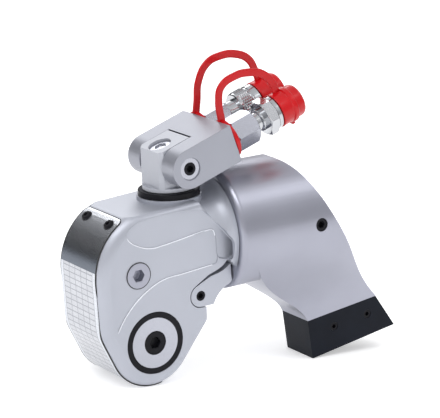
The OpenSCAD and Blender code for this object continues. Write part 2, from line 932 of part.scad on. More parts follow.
// Side of the arm down to the foot, and the curve of the leg under the mouth.
module arm_side_outline() {
  top = cyl_z + arm_r + 1;
  bend = [foot_x - 1.6, 86];
  polygon(concat(
    [[mouth_x, top]],
    bezier([[foot_x - 24.6, top], [foot_x - 13.6, top], [foot_x - 9.6, 100], bend], 10),
    bezier([bend, [foot_x + 10.4, 61], [foot_x + 33.4, 24], foot_rear], 10),
    [foot_front, [mouth_x, foot_front[1]]]
  ));
}

module leg_side_outline() {
  polygon(concat(
    bezier([foot_front, [foot_x - 6.6, 2], [93, 12], [80, cyl_z - 17]], 14),
    [[shoe_rear[0], cyl_z - 17], foot_rear]
  ));
}

// The round barrel, its underside drawn in to a flatter curve.
module barrel_front_outline() {
  intersection() {
    translate([0, cyl_z]) circle(r = arm_r);
    translate([0, arm_belly_z + arm_belly_r]) circle(r = arm_belly_r, $fn = 128);
  }
}

module leg_front_outline() {
  half = foot_w / 2;
  join = on_circle([0, cyl_z], arm_r, leg_turn);
  ease = join + leg_ease * [sin(leg_turn), -cos(leg_turn)];
  right = concat(bezier([join, ease, [half, 10], [half, -14]], 12), [[half, foot_front[1] - cut]]);
  polygon(concat(right, [for (i = [len(right) - 1:-1:0]) [-right[i][0], right[i][1]]]));
}

module arm_rim() {
  translate([0, 0, cyl_z]) rotate([0, 90, 0]) rotate_extrude()
    polygon(concat(
      [[0, mouth_x]],
      [for (a = [0:15:90]) [arm_r - rim_r + rim_r * sin(a), mouth_x + rim_r * (1 - cos(a))]],
      [[arm_r * 4, mouth_x + rim_r], [arm_r * 4, mouth_x + shoe_rear[0]], [0, mouth_x + shoe_rear[0]]]
    ));
}

module foot_tenon(play) {
  run = foot_rear - foot_front;
  down = shoe_front - foot_front;
  slab(tenon_w + 2 * play) polygon([
    foot_front + 0.14 * run + 0.7 * down + play * [-1, -1],
    foot_front + 0.14 * run - 0.06 * down + play * [-1, 0],
    foot_front + 0.94 * run - 0.06 * down + play * [1, 0],
    foot_front + 0.97 * run + 0.7 * down + play * [1, -1]
  ]);
}

module reaction_arm() {
  color("darkgray") mid() difference() {
    union() {
      intersection() {
        slab(4 * arm_r) arm_side_outline();
        union() {
          along_x(mouth_x - cut, shoe_rear[0]) barrel_front_outline();
          intersection() {
            along_x(mouth_x - cut, shoe_rear[0]) leg_front_outline();
            slab(4 * arm_r) leg_side_outline();
          }
        }
        arm_rim();
      }
      foot_tenon(0);
    }
    translate([0, 0, cyl_z]) {
      rod_x(arm_bore_r, mouth_x - cut, arm_spline_x - mouth_x + cut);
      rod_x(arm_groove_r, latch_groove[0], latch_groove[1] - latch_groove[0]);
      along_x(arm_spline_x - cut, arm_end_x - arm_spline_x + cut)
        polygon(star(spline_teeth, spline_r + 0.3, spline_root_r + 0.3));
    }
    both_sides() rod_y(arm_plug_c, arm_plug_r + run_fit, arm_r - arm_plug_depth, arm_r + cut);
    both_sides() for (c = shoe_screw_c) rod_y(c, shoe_screw_r - 0.5, 2, foot_w);
  }
}

module reaction_shoe() {
  color([0.09, 0.09, 0.11]) mid() difference() {
    slab(foot_w) polygon([foot_front, foot_rear, shoe_rear, shoe_front]);
    foot_tenon(seat_gap);
    both_sides() for (c = shoe_screw_c) rod_y(c, shoe_screw_r + run_fit, 2, foot_w);
  }
}

module shoe_screws() {
  out = foot_w / 2 - 0.4;
  color("black") mid() both_sides() for (c = shoe_screw_c) difference() {
    union() {
      rod_y(c, shoe_screw_r, tenon_w / 2 + 0.2, out);
      rod_y(c, shoe_screw_r - 0.6, 3, out);
    }
    hex_y(c, 3, out - 2.6, out + cut);
  }
}

module arm_plugs() {
  out = sqrt(arm_r * arm_r - pow(arm_plug_c[1] - cyl_z + arm_plug_r, 2)) - 0.3;
  color("black") mid() both_sides() difference() {
    rod_y(arm_plug_c, arm_plug_r, arm_r - arm_plug_depth, out);
    hex_y(arm_plug_c, 5, out - 4, out + cut);
  }
}

// Swivel

module swivel_ring() {
  color("black") at_post() translate([0, 0, ring_z]) difference() {
    union() {
      cylinder(r = ring_r, h = ring_h - 0.6);
      translate([0, 0, ring_h - 0.6]) cylinder(r1 = ring_r, r2 = ring_r - 0.6, h = 0.6);
    }
    translate([0, 0, -cut]) cylinder(r = flange_r + run_fit, h = flange_h + 0.1 + cut);
    cylinder(r = neck_r + run_fit, h = ring_h + cut);
  }
}

module post_side_outline() {
  low = base_z + base_h - pivot_z - cut;
  intersection() {
    union() {
      circle(r = post_eye_r);
      translate([-post_front, low]) square([2 * post_front - 2, -low]);
    }
    translate([-post_front, low]) square([post_front + post_eye_r + cut, post_eye_r * 2]);
    rotate(tilt) translate([-60, -60]) square([120, 60 + yoke_h]);
  }
}

module post_plan_outline() {
  corner = 3;
  back = post_eye_r + cut;
  half = post_w / 2;
  polygon([
    [-post_front, -half + corner], [-post_front + corner, -half], [back, -half],
    [back, half], [-post_front + corner, half], [-post_front, half - corner]
  ]);
}

module post_plug_place() {
  at_yoke() translate([-1.5, 0, yoke_h]) children();
}

module swivel_post() {
  color("lightgray") difference() {
    union() {
      at_post() {
        translate([0, 0, ring_z - stem_len]) cylinder(r = stem_r, h = stem_len + flange_h);
        translate([0, 0, ring_z + 0.05]) cylinder(r = flange_r, h = flange_h);
        translate([0, 0, ring_z]) cylinder(r = neck_r, h = ring_h + cut);
        translate([0, 0, base_z]) cylinder(r = base_r, h = base_h);
      }
      intersection() {
        at_pivot() slab(post_w) post_side_outline();
        at_post() linear_extrude(300) post_plan_outline();
      }
    }
    at_pivot() rod_y([0, 0], pivot_r + run_fit, -post_w, post_w);
    at_post() for (k = [0, 1])
      translate([0, 0, ring_z - stem_len + 1.4 + 3.4 * k]) difference() {
        cylinder(r = stem_r + cut, h = 2);
        translate([0, 0, -cut]) cylinder(r = stem_r - 1.6, h = 4);
      }
    post_plug_place() translate([0, 0, -3.5]) cylinder(r = post_plug_r + run_fit, h = 10);
  }
}

module post_plug() {
  color("silver") post_plug_place() translate([0, 0, -3.4]) difference() {
    cylinder(r = post_plug_r, h = 1.8);
    translate([0, 0, 0.6]) cylinder(d = 8 / cos(30), h = 4, $fn = 6);
  }
}

module swivel_seals() {
  color("dimgray") at_post() for (k = [0, 1])
    translate([0, 0, ring_z - stem_len + 1.45 + 3.4 * k]) difference() {
      cylinder(r = stem_r, h = 1.9);
      translate([0, 0, -cut]) cylinder(r = stem_r - 1.55, h = 4);
    }
}

// Yoke

module swivel_yoke() {
  color("silver") at_yoke() difference() {
    slab(yoke_w) union() {
      circle(r = yoke_h);
      translate([0, -yoke_h]) square([yoke_len, 2 * yoke_h]);
    }
    rod_y([0, 0], pocket_r, -pocket_w / 2, pocket_w / 2);
    rod_y([0, 0], pivot_r + run_fit, -yoke_w, yoke_w);
    for (s = [-1, 1])
      translate([0, s * port_v, 0]) rod_x(port_r + run_fit, yoke_len - port_depth, port_depth + cut);
  }
}

module pivot_pin() {
  reach = yoke_w / 2 - 1.2;
  color("silver") at_pivot() difference() {
    rod_y([0, 0], pivot_r, -reach, reach);
    both_sides() rod_y([0, 0], pivot_screw_r + seat_gap, reach - 9, reach + cut);
  }
}

module pivot_screws() {
  reach = yoke_w / 2 - 0.8;
  color("black") at_pivot() both_sides() difference() {
    rod_y([0, 0], pivot_screw_r, reach - 9, reach);
    hex_y([0, 0], 5, reach - 4, reach + cut);
  }
}

module hex_x_bar(af, x, length) {
  translate([x, 0, 0]) rotate([0, 90, 0]) cylinder(d = af / cos(30), h = length, $fn = 6);
}

module coupler_adapters() {
  color("lightgray") for (s = [-1, 1]) at_port(s) difference() {
    union() {
      rod_x(port_r, -port_depth + 0.3, port_depth + hex_x);
      hex_x_bar(adapter_af, hex_x, hex_len);
    }
    rod_x(6 + seat_gap, hex_x + hex_len - 8, 10);
  }
}

module male_coupler() {
  color("silver") at_port(-1) difference() {
    union() {
      rod_x(6, male_x - 7.8, 12);
      rod_x(male_neck_r, male_x + 0.1, male_neck_len);
      hex_x_bar(adapter_af, male_x + male_neck_len, male_nut_len);
      rod_x(male_flange_r, male_x + male_neck_len + male_nut_len, male_flange_len - free_gap);
      rod_x(male_tip_r, male_cap_x - cut, male_tip_len);
    }
    rod_x(4, male_cap_x, male_tip_len);
  }
}

module female_coupler() {
  tip_x = sleeve_x + sleeve_len - 3;
  color("silver") at_port(1) difference() {
    union() {
      rod_x(6, female_x - 7.8, 12);
      rod_x(female_neck_r, female_x + 0.1, tip_x - female_x);
      rod_x(female_tip_r, tip_x - 1, female_tip_len);
    }
    rod_x(5.5, tip_x, female_tip_len);
  }
}

module coupler_sleeve() {
  step = 9;
  color("silver") at_port(1) difference() {
    union() {
      along_x(sleeve_x, step) polygon(star(36, sleeve_r, sleeve_r - 0.7));
      rod_x(sleeve_r - 1.2, sleeve_x + step - cut, sleeve_len - step + cut);
    }
    rod_x(female_neck_r + run_fit, sleeve_x - cut, sleeve_len);
    rod_x(female_tip_r + run_fit, sleeve_x + sleeve_len - 9, 10);
  }
}

module strap(side, path) {
  at_port(side) {
    difference() {
      rod_x(strap_ring_r, 0.2, strap_ring_t);
      rod_x(port_r + 0.2, -cut, strap_ring_t + 3);
    }
    slab(strap_w) polygon(ribbon(smooth_path(path, 5), strap_t));
  }
}

module near_strap() {
  color("red") strap(-1, near_strap_path);
}

module far_strap() {
  color("red") strap(1, far_strap_path);
}

// A cup with a stepped, rounded end, open towards the coupler.
module dust_cap(side, x, tip_len) {
  at_port(side) translate([x, 0, 0]) rotate([0, 90, 0]) rotate_extrude()
    polygon([
      [cap_r - cap_t, 0], [cap_r, 0], [cap_r, cap_body_len - 5], [cap_r + 0.8, cap_body_len - 4],
      [cap_r + 0.8, cap_body_len - 1], [cap_r - 0.6, cap_body_len],
      [cap_r - 0.6, cap_body_len + cap_end_len - 2], [cap_r - 3, cap_body_len + cap_end_len],
      [0, cap_body_len + cap_end_len], [0, tip_len + 0.5], [cap_r - cap_t, tip_len + 0.5]
    ]);
}

module near_cap() {
  color("red") dust_cap(-1, male_cap_x, male_tip_len);
}

module far_cap() {
  color("red") dust_cap(1, female_cap_x, female_tip_len);
}

housing();
front_shroud();
shroud_screws();
side_plug();
drive_bushes();
rod_gland();
rod_seal();
end_cap();
end_cap_seal();
holding_pawl_pin();
holding_pawl_spring();
trigger_screws();
trigger_spring();
swivel_ring();
ratchet_wheel();
square_drive();
drive_retainer();
retainer_screw();
drive_plates();
rod_pin();
plate_spacer();
drive_pawl_pin();
drive_pawl_spring();
drive_pawl();
holding_pawl();
piston_rod();
piston_head();
piston_seal();
trigger_lever();
reaction_arm();
reaction_shoe();
shoe_screws();
arm_plugs();
swivel_post();
post_plug();
swivel_seals();
swivel_yoke();
pivot_pin();
pivot_screws();
coupler_adapters();
male_coupler();
female_coupler();
coupler_sleeve();
near_strap();
far_strap();
near_cap();
far_cap();
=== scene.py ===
# %% [markdown]
# # A hydraulic torque wrench
# The real tool is a cast head with a ratchet inside, a steel arm that takes the reaction,
# and a two-axis swivel that carries two hose couplers. The solids are loaded as a fixed frame,
# so every finish and every new piece in this lesson goes where they already are.

import json
import math

import bpy
from mathutils import Matrix, Vector

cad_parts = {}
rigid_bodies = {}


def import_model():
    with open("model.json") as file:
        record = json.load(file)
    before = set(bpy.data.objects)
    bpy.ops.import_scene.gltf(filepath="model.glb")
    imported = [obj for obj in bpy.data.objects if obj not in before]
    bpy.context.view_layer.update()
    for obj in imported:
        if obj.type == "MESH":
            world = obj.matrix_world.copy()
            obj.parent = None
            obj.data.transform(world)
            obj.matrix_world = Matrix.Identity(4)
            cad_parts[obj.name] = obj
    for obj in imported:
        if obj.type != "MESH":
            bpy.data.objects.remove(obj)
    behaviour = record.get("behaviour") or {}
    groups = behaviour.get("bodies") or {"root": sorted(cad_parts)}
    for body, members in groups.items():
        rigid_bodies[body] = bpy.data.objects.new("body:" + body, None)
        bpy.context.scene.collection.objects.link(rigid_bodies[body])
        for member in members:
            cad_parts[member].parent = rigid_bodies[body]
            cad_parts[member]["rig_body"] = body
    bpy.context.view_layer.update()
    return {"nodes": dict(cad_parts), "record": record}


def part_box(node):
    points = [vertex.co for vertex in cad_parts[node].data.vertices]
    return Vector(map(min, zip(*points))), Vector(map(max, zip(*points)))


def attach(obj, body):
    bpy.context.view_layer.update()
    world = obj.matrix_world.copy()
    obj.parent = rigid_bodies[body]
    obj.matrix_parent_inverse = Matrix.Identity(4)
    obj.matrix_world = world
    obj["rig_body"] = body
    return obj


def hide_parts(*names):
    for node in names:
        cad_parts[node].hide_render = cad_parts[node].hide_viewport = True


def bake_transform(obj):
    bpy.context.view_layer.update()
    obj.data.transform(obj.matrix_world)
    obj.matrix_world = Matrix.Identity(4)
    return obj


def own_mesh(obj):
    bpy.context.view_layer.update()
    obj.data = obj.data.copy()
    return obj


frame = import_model()
solids = frame["nodes"]
bpy.ops.object.select_all(action="DESELECT")
MM = 0.001

# %% [markdown]
# ## Camera
# The photograph was taken with a long lens, a little above the tool and to the left of its nose.
# A camera looks along its own -Z, so its matrix is built from three directions: to the right,
# up, and back towards the lens.

# %% Camera
VIEW_AZIMUTH = math.radians(-31.78)
VIEW_ELEVATION = math.radians(15.10)
VIEW_ROLL = math.radians(-2.06)
VIEW_TARGET = Vector((58.17, -65, 88.93)) * MM
VIEW_DISTANCE = 1675 * MM
SENSOR_WIDTH = 36
LENS_LENGTH = 191.3
VIEW_LIMIT = 50

back = Vector((
    math.sin(VIEW_AZIMUTH) * math.cos(VIEW_ELEVATION),
    -math.cos(VIEW_AZIMUTH) * math.cos(VIEW_ELEVATION),
    math.sin(VIEW_ELEVATION),
))
level = Vector((math.cos(VIEW_AZIMUTH), math.sin(VIEW_AZIMUTH), 0))
upright = back.cross(level)
right = math.cos(VIEW_ROLL) * level + math.sin(VIEW_ROLL) * upright
up = -math.sin(VIEW_ROLL) * level + math.cos(VIEW_ROLL) * upright

bpy.ops.object.camera_add()
camera = bpy.context.active_object
camera.name = "photo_camera"
camera.data.sensor_width = SENSOR_WIDTH
camera.data.lens = LENS_LENGTH
camera.data.clip_end = VIEW_LIMIT
place = Matrix((right, up, back)).transposed().to_4x4()
place.translation = VIEW_TARGET + back * VIEW_DISTANCE
camera.matrix_world = place
bpy.context.scene.camera = camera
print("camera at", [round(v, 3) for v in place.translation])

# %% [markdown]
# ## Stage
# The tool stands on its round nose and on the front edge of its shoe, so the floor leans by
# a few degrees in the tool's own frame. Satin metal shows what is round it. The front plate
# mirrors a dark wall between a white table and a bright ceiling, and the other faces don't,
# so the sky is a bright gradient with one dark screen to the rear left.

# %% Floor
NOSE_RADIUS = 33.5
FLOOR_LEAN = math.radians(4.9)
FLOOR_SIZE = 14
FLOOR_LOOK = {
    "Base Color": (0.93, 0.93, 0.93, 1),
    "Roughness": 0.9,
    "Specular IOR Level": 0.1,
    "Emission Color": (1, 1, 1, 1),
    "Emission Strength": 0.42,
}

bpy.ops.mesh.primitive_plane_add(size=FLOOR_SIZE)
floor = bpy.context.active_object
floor.name = "studio_floor"
floor.rotation_euler = (0, FLOOR_LEAN, 0)
floor.location = (0, 0, -NOSE_RADIUS * MM / math.cos(FLOOR_LEAN))
bpy.ops.object.transform_apply(location=True, rotation=True, scale=True)


def set_looks(shader, looks):
    for socket, value in looks.items():
        shader.inputs[socket].default_value = value


floor_paint = bpy.data.materials.new("studio_white")
floor_paint.use_nodes = True
set_looks(floor_paint.node_tree.nodes["Principled BSDF"], FLOOR_LOOK)
floor.data.materials.append(floor_paint)
print("floor under the nose at", round(floor.data.vertices[0].co.z, 4))

# %% Sky
# Each stop is a height, from the horizon to the top, and a grey.
OPEN_SKY = ((0.0, 0.52), (0.25, 0.60), (0.5, 0.85), (0.8, 0.95), (1.0, 0.75))
DARK_SCREEN = ((0.0, 0.10), (0.05, 0.05), (0.38, 0.08), (0.58, 0.45), (0.85, 0.85))
REAR_LEFT = (-0.5, 0.86, 0)
SCREEN_EDGE = {"From Min": 0.50, "From Max": 0.82}
SKY_BLUE = 1.02

sky = bpy.data.worlds.new("studio_sky")
bpy.context.scene.world = sky
sky.use_nodes = True
sky_nodes = sky.node_tree.nodes
sky_links = sky.node_tree.links
direction = sky_nodes.new("ShaderNodeTexCoord")
split = sky_nodes.new("ShaderNodeSeparateXYZ")
sky_links.new(direction.outputs["Generated"], split.inputs[0])


def sky_ramp(stops):
    ramp = sky_nodes.new("ShaderNodeValToRGB")
    while len(ramp.color_ramp.elements) < len(stops):
        ramp.color_ramp.elements.new(0.5)
    for stop, (height, grey) in zip(ramp.color_ramp.elements, stops):
        stop.position = height
        stop.color = (grey, grey, grey * SKY_BLUE, 1)
    sky_links.new(split.outputs["Z"], ramp.inputs[0])
    return ramp.outputs[0]


open_sky = sky_ramp(OPEN_SKY)
dark_screen = sky_ramp(DARK_SCREEN)
facing = sky_nodes.new("ShaderNodeVectorMath")
facing.operation = "DOT_PRODUCT"
facing.inputs[1].default_value = REAR_LEFT
sky_links.new(direction.outputs["Generated"], facing.inputs[0])
screen_edge = sky_nodes.new("ShaderNodeMapRange")
screen_edge.interpolation_type = "SMOOTHSTEP"
set_looks(screen_edge, SCREEN_EDGE)
sky_links.new(facing.outputs["Value"], screen_edge.inputs["Value"])
sky_mix = sky_nodes.new("ShaderNodeMix")
sky_mix.data_type = "RGBA"
sky_links.new(screen_edge.outputs[0], sky_mix.inputs["Factor"])
sky_links.new(open_sky, sky_mix.inputs["A"])
sky_links.new(dark_screen, sky_mix.inputs["B"])
sky_links.new(sky_mix.outputs["Result"], sky_nodes["Background"].inputs["Color"])
sky_nodes["Background"].inputs["Strength"].default_value = 1.0
print("sky with one dark screen")

# %% Lights
# The middle plane of the head lies at MIDDLE_Y. All the lights aim at one point in it.
MIDDLE_Y = -34
LIGHT_AIM = Vector((60, MIDDLE_Y, 50)) * MM
# Place and size in metres, and watts.
SOFTBOXES = {
    "key_softbox": ((-0.9, -0.7, 2.0), (1.4, 1.0), 16),
    "strip_softbox": ((1.15, -0.95, 1.65), (1.5, 0.45), 4),
    "back_softbox": ((0.6, 1.7, 1.2), (1.4, 0.6), 8),
}

for name, (spot, size, watts) in SOFTBOXES.items():
    bpy.ops.object.light_add(type="AREA")
    light = bpy.context.active_object
    light.name = name
    light.data.shape = "RECTANGLE"
    light.data.size, light.data.size_y = size
    light.data.energy = watts
    light.location = spot
    light.rotation_euler = (LIGHT_AIM - light.location).to_track_quat("-Z", "Y").to_euler()
bpy.context.scene.view_settings.view_transform = "Standard"
print(len(SOFTBOXES), "softboxes")

# %% [markdown]
# ## Finishes
# Each finish is a small tree: a base colour that drifts a little over the piece, a roughness
# that varies at the scale of the tool marks, and a fine bump. Cast and blasted metal gets an
# even grain, turned and drawn metal gets grain that is stretched one way. All of them read
# Object coordinates, so the grain stays on the metal when a joint moves.

# %% Helpers for finishes
DRIFT_SCALE = 35.0
DRIFT_STOPS = (0.3, 0.7)
RELIEF_HEIGHT = 0.0002


def node_of(tree, kind, **settings):
    made = tree.nodes.new(kind)
    for key, value in settings.items():
        if key in made.inputs:
            made.inputs[key].default_value = value
        else:
            setattr(made, key, value)
    return made


def metal_finish(
    name, tint, metallic, rough, grain, stretch=(1, 1, 1), bump=0.05, drift=0.06, spread=0.08
):
    """Metal or plastic with a grain: tint drifts slowly, roughness and bump follow the grain."""
    finish = bpy.data.materials.new(name)
    finish.use_nodes = True
    tree = finish.node_tree
    shader = tree.nodes["Principled BSDF"]
    shader.inputs["Metallic"].default_value = metallic
    coords = node_of(tree, "ShaderNodeTexCoord")
    lay = node_of(tree, "ShaderNodeMapping", Scale=stretch)
    fine = node_of(tree, "ShaderNodeTexNoise", Scale=grain, Detail=3.0)
    slow = node_of(tree, "ShaderNodeTexNoise", Scale=DRIFT_SCALE, Detail=2.0)
    tree.links.new(coords.outputs["Object"], lay.inputs[0])
    tree.links.new(lay.outputs[0], fine.inputs["Vector"])
    tree.links.new(coords.outputs["Object"], slow.inputs["Vector"])
    shade = node_of(tree, "ShaderNodeValToRGB")
    dark = [c * (1 - drift) for c in tint]
    light = [min(c * (1 + drift), 1) for c in tint]
    for stop, position, colour in zip(shade.color_ramp.elements, DRIFT_STOPS, (dark, light)):
        stop.position = position
        stop.color = (*colour, 1)
    tree.links.new(slow.outputs[0], shade.inputs[0])
    tree.links.new(shade.outputs[0], shader.inputs["Base Color"])
    gloss = node_of(tree, "ShaderNodeMapRange")
    set_looks(gloss, {"To Min": rough - spread / 2, "To Max": rough + spread / 2})
    tree.links.new(fine.outputs[0], gloss.inputs["Value"])
    tree.links.new(gloss.outputs[0], shader.inputs["Roughness"])
    relief = node_of(tree, "ShaderNodeBump", Strength=bump, Distance=RELIEF_HEIGHT)
    tree.links.new(fine.outputs[0], relief.inputs["Height"])
    tree.links.new(relief.outputs[0], shader.inputs["Normal"])
    return finish


# %% Finishes of the tool
# Tint, how metallic, roughness and grain, and then what differs from an ordinary finish.
FINISH_LOOKS = {
    "housing_silver": ((0.42, 0.437, 0.49), 0.5, 0.40, 2600, dict(bump=0.08, drift=0.02)),
    "arm_grey": ((0.345, 0.352, 0.41), 0.85, 0.34, 2200, dict(bump=0.06, drift=0.025)),
    "shoe_black": ((0.005, 0.007, 0.013), 0.0, 0.42, 1800, dict(bump=0.12, drift=0.2)),
    "black_oxide": ((0.008, 0.008, 0.011), 0.0, 0.32, 1800, dict(bump=0.05, drift=0.2)),
    "zinc_steel": ((0.42, 0.43, 0.48), 0.95, 0.26, 1500, dict(bump=0.03, drift=0.03)),
    "tool_steel": ((0.36, 0.36, 0.38), 1.0, 0.30, 1500, dict(bump=0.04, drift=0.08)),
    "spring_steel": ((0.45, 0.45, 0.47), 1.0, 0.25, 1500, dict(bump=0.03)),
    "bronze": ((0.62, 0.42, 0.17), 1.0, 0.30, 1500, dict(bump=0.03)),
    "seal_rubber": ((0.02, 0.02, 0.02), 0.0, 0.65, 2500, dict(bump=0.1, drift=0.2)),
    "chrome_rod": (
        (0.75, 0.76, 0.78), 1.0, 0.08, 1500, dict(stretch=(1, 40, 40), bump=0.01, spread=0.04)
    ),
    "chrome_coupler": ((0.50, 0.51, 0.53), 1.0, 0.14, 1500, dict(bump=0.01, spread=0.04)),
    "swivel_silver": ((0.45, 0.465, 0.51), 0.30, 0.48, 2600, dict(bump=0.08, drift=0.02)),
    "yoke_grey": ((0.33, 0.34, 0.385), 0.50, 0.42, 2600, dict(bump=0.08, drift=0.02)),
    # A light finish that paints the highlight on the lips of the steps.
    "worn_edge": ((0.80, 0.82, 0.87), 0.4, 0.30, 2600, dict(bump=0.04, drift=0.05)),
    "red_vinyl": ((0.50, 0.002, 0.005), 0.0, 0.34, 900, dict(bump=0.03, drift=0.08)),
    "brushed_plate": ((0.60, 0.62, 0.66), 0.95, 0.24, 300, dict(stretch=(40, 1, 40), bump=0.02)),
}
BLACK_LOOK = {"Specular IOR Level": 0.13}
VINYL_LOOK = {"Specular IOR Level": 0.25, "Coat Weight": 0.2, "Coat Roughness": 0.08}

FINISH = {}
for name, (*looks, extra) in FINISH_LOOKS.items():
    FINISH[name] = metal_finish(name, *looks, **extra)
for name, looks in (("shoe_black", BLACK_LOOK), ("black_oxide", BLACK_LOOK), ("red_vinyl", VINYL_LOOK)):
    set_looks(FINISH[name].node_tree.nodes["Principled BSDF"], looks)

slot_of = {row["node"]: row["material_slot"] for row in frame["record"]["subparts"]}
body_of = {name: solid["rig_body"] for name, solid in solids.items()}
for name, solid in solids.items():
    solid.data.materials.clear()
    solid.data.materials.append(FINISH[slot_of[name]])
print("finishes:", ", ".join(sorted(FINISH)))

# %% [markdown]
# ## Castings and machined blocks
# The arm, yoke, shoe and small turned pieces leave the shop tumbled or filed, with no razor
# sharp edge. Their solids have the right shape, as loose triangles. They could be modelled
# again, but a merged copy with a bevel keeps every bore where the joints need it.
# Blender narrows a bevel to fit the shortest edge that it meets. Plugs, pins and bushes get
# their full width, and the yoke, shoe and square drive about a quarter to a half. The arm,
# post, trigger and front plate have very short edges along their curves, so theirs is only
# a trace that softens the shading.

# %% Helpers for dressed copies
SAME_POINT = 0.002
SAME_PLANE = 0.6
FLAT_FACING = 0.99995


def make_active(piece):
    bpy.ops.object.select_all(action="DESELECT")
    piece.select_set(True)
    bpy.context.view_layer.objects.active = piece


def finish_piece(piece, node, finish=None, rides=True):
    """Give a piece its finish and its body, and hide the solid that it stands for."""
    piece.data.materials.clear()
    piece.data.materials.append(FINISH[finish or slot_of[node]])
    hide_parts(node)
    if rides:
        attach(piece, body_of[node])
    return piece


def smooth_skin(piece, angle=32):
    make_active(piece)
    bpy.ops.object.shade_smooth_by_angle(angle=math.radians(angle))
    weights = piece.modifiers.new("even_shading", "WEIGHTED_NORMAL")
    weights.keep_sharp = True
    bpy.ops.object.modifier_apply(modifier=weights.name)


def mark_flat_sides(piece, reach):
    """Keep the flats across Y, further out than reach, from taking shading from their rims."""
    make_active(piece)
    bpy.ops.object.mode_set(mode="EDIT")
    bpy.ops.mesh.select_mode(type="FACE")
    bpy.ops.mesh.select_all(action="DESELECT")
    bpy.ops.object.mode_set(mode="OBJECT")
    for face in piece.data.polygons:
        far_out = abs(face.center.y - MIDDLE_Y * MM) > reach * MM
        face.select = far_out and abs(face.normal.y) > FLAT_FACING
    bpy.ops.object.mode_set(mode="EDIT")
    bpy.ops.mesh.region_to_loop()
    bpy.ops.mesh.mark_sharp()
    bpy.ops.mesh.select_mode(type="VERT")
    bpy.ops.object.mode_set(mode="OBJECT")


def cut_with(piece, tool, operation):
    make_active(piece)
    knife = piece.modifiers.new("cut", "BOOLEAN")
    knife.operation = operation
    knife.object = tool
    knife.solver = "EXACT"
    bpy.ops.object.modifier_apply(modifier=knife.name)
    bpy.data.objects.remove(tool, do_unlink=True)
    return piece


def round_edges(piece, edge, segments=2, angle=28):
    """Bevel the sharp edges by edge millimetres, or by as much as the shortest edges leave room for."""
    make_active(piece)
    rounding = piece.modifiers.new("edge_rounding", "BEVEL")
    rounding.width = edge * MM
    rounding.segments = segments
    rounding.limit_method = "ANGLE"
    rounding.angle_limit = math.radians(angle)
    bpy.ops.object.modifier_apply(modifier=rounding.name)


def merge_close(piece):
    """Merge points that coincide, and drop the slivers without area that a bevel can leave."""
    make_active(piece)
    bpy.ops.object.mode_set(mode="EDIT")
    bpy.ops.mesh.select_all(action="SELECT")
    bpy.ops.mesh.remove_doubles(threshold=SAME_POINT * MM)
    bpy.ops.mesh.dissolve_degenerate(threshold=SAME_POINT * MM)
    bpy.ops.object.mode_set(mode="OBJECT")


def dressed_copy(node, edge, angle=32, flats=None, finish=None, carve=None):
    """A merged copy of a solid, with its edges rounded as far as there is room for."""
    mesh = solids[node].data.copy()
    piece = bpy.data.objects.new("dressed_" + node, mesh)
    mesh.name = piece.name
    bpy.context.collection.objects.link(piece)
    make_active(piece)
    bpy.ops.object.mode_set(mode="EDIT")
    bpy.ops.mesh.select_all(action="SELECT")
    bpy.ops.mesh.remove_doubles(threshold=SAME_POINT * MM)
    bpy.ops.mesh.dissolve_limited(angle_limit=math.radians(SAME_PLANE))
    bpy.ops.object.mode_set(mode="OBJECT")
    if carve:
        carve(piece)
    round_edges(piece, edge, angle=angle)
    if not carve:
        merge_close(piece)
    if flats:
        mark_flat_sides(piece, flats)
    smooth_skin(piece, angle)
    finish_piece(piece, node, finish=finish)
    print(piece.name, len(piece.data.polygons), "faces")
    return piece


# %% Castings and blocks
EDGE = {
    "reaction_arm": 0.6,
    "reaction_shoe": 0.8,
    "trigger_lever": 0.5,
    "swivel_post": 0.6,
    "square_drive": 0.5,
    "swivel_ring": 0.3,
    "shroud_screws": 0.2,
    "drive_bushes": 0.4,
    "drive_retainer": 0.4,
    "retainer_screw": 0.4,
    "trigger_screws": 0.25,
    "shoe_screws": 0.2,
    "arm_plugs": 0.3,
    "post_plug": 0.3,
    "pivot_pin": 0.3,
    "pivot_screws": 0.3,
}
YOKE_EDGE = 0.9
PLUG_EDGE = 0.6
for name, edge in EDGE.items():
    dressed_copy(name, edge)
dressed_copy("swivel_yoke", YOKE_EDGE, finish="yoke_grey")
dressed_copy("side_plug", PLUG_EDGE, finish="arm_grey")

# %% [markdown]
# ## Head casting
# The upper part of each side is a shallow pocket, a little lower than the band under it, with
# a soft fillet round its floor. It could be pushed in by hand, but a cutter gives both sides the
# same rim. The cutter is a flat curve: a 2D curve fills itself, its extrusion gives it thickness
# and its bevel gives the fillet. The casting has edges so short that its edge rounding ends up
# with no width, so its edges stay as the solid has them. The strips without width that this
# leaves aren't merged, because they blend the shading over the spline's teeth and the flare.

# %% Head casting
HEAD_SIDE = 31
HEAD_EDGE = 0.28
FLAT_REACH = 28
POCKET_DEPTH = 1.25
POCKET_FILLET = 0.8
CUTTER_HALF = 2.8
POCKET_RIM = (
    (-19.4, 80.7), (-16.5, 77.2), (-9, 72.6), (0.4, 69.8), (9.8, 70.2), (19.7, 71.4), (48, 74.8),
    (51.8, 74.2), (53.4, 70), (55.1, 54), (57, 52.3), (68.5, 52.6), (70, 56.1), (68.2, 63.3),
    (64.2, 68.5), (44.6, 89.4), (41, 91.5), (-6, 91.5), (-12.4, 89.3), (-17.8, 85.6),
)


def smooth_line(curve, points, closed=False):
    """Replace what a curve holds by one smooth line through points, in metres."""
    curve.data.splines.clear()
    line = curve.data.splines.new("BEZIER")
    line.bezier_points.add(len(points) - 1)
    line.use_cyclic_u = closed
    for point, spot in zip(line.bezier_points, points):
        point.co = spot
        point.handle_left_type = point.handle_right_type = "AUTO"


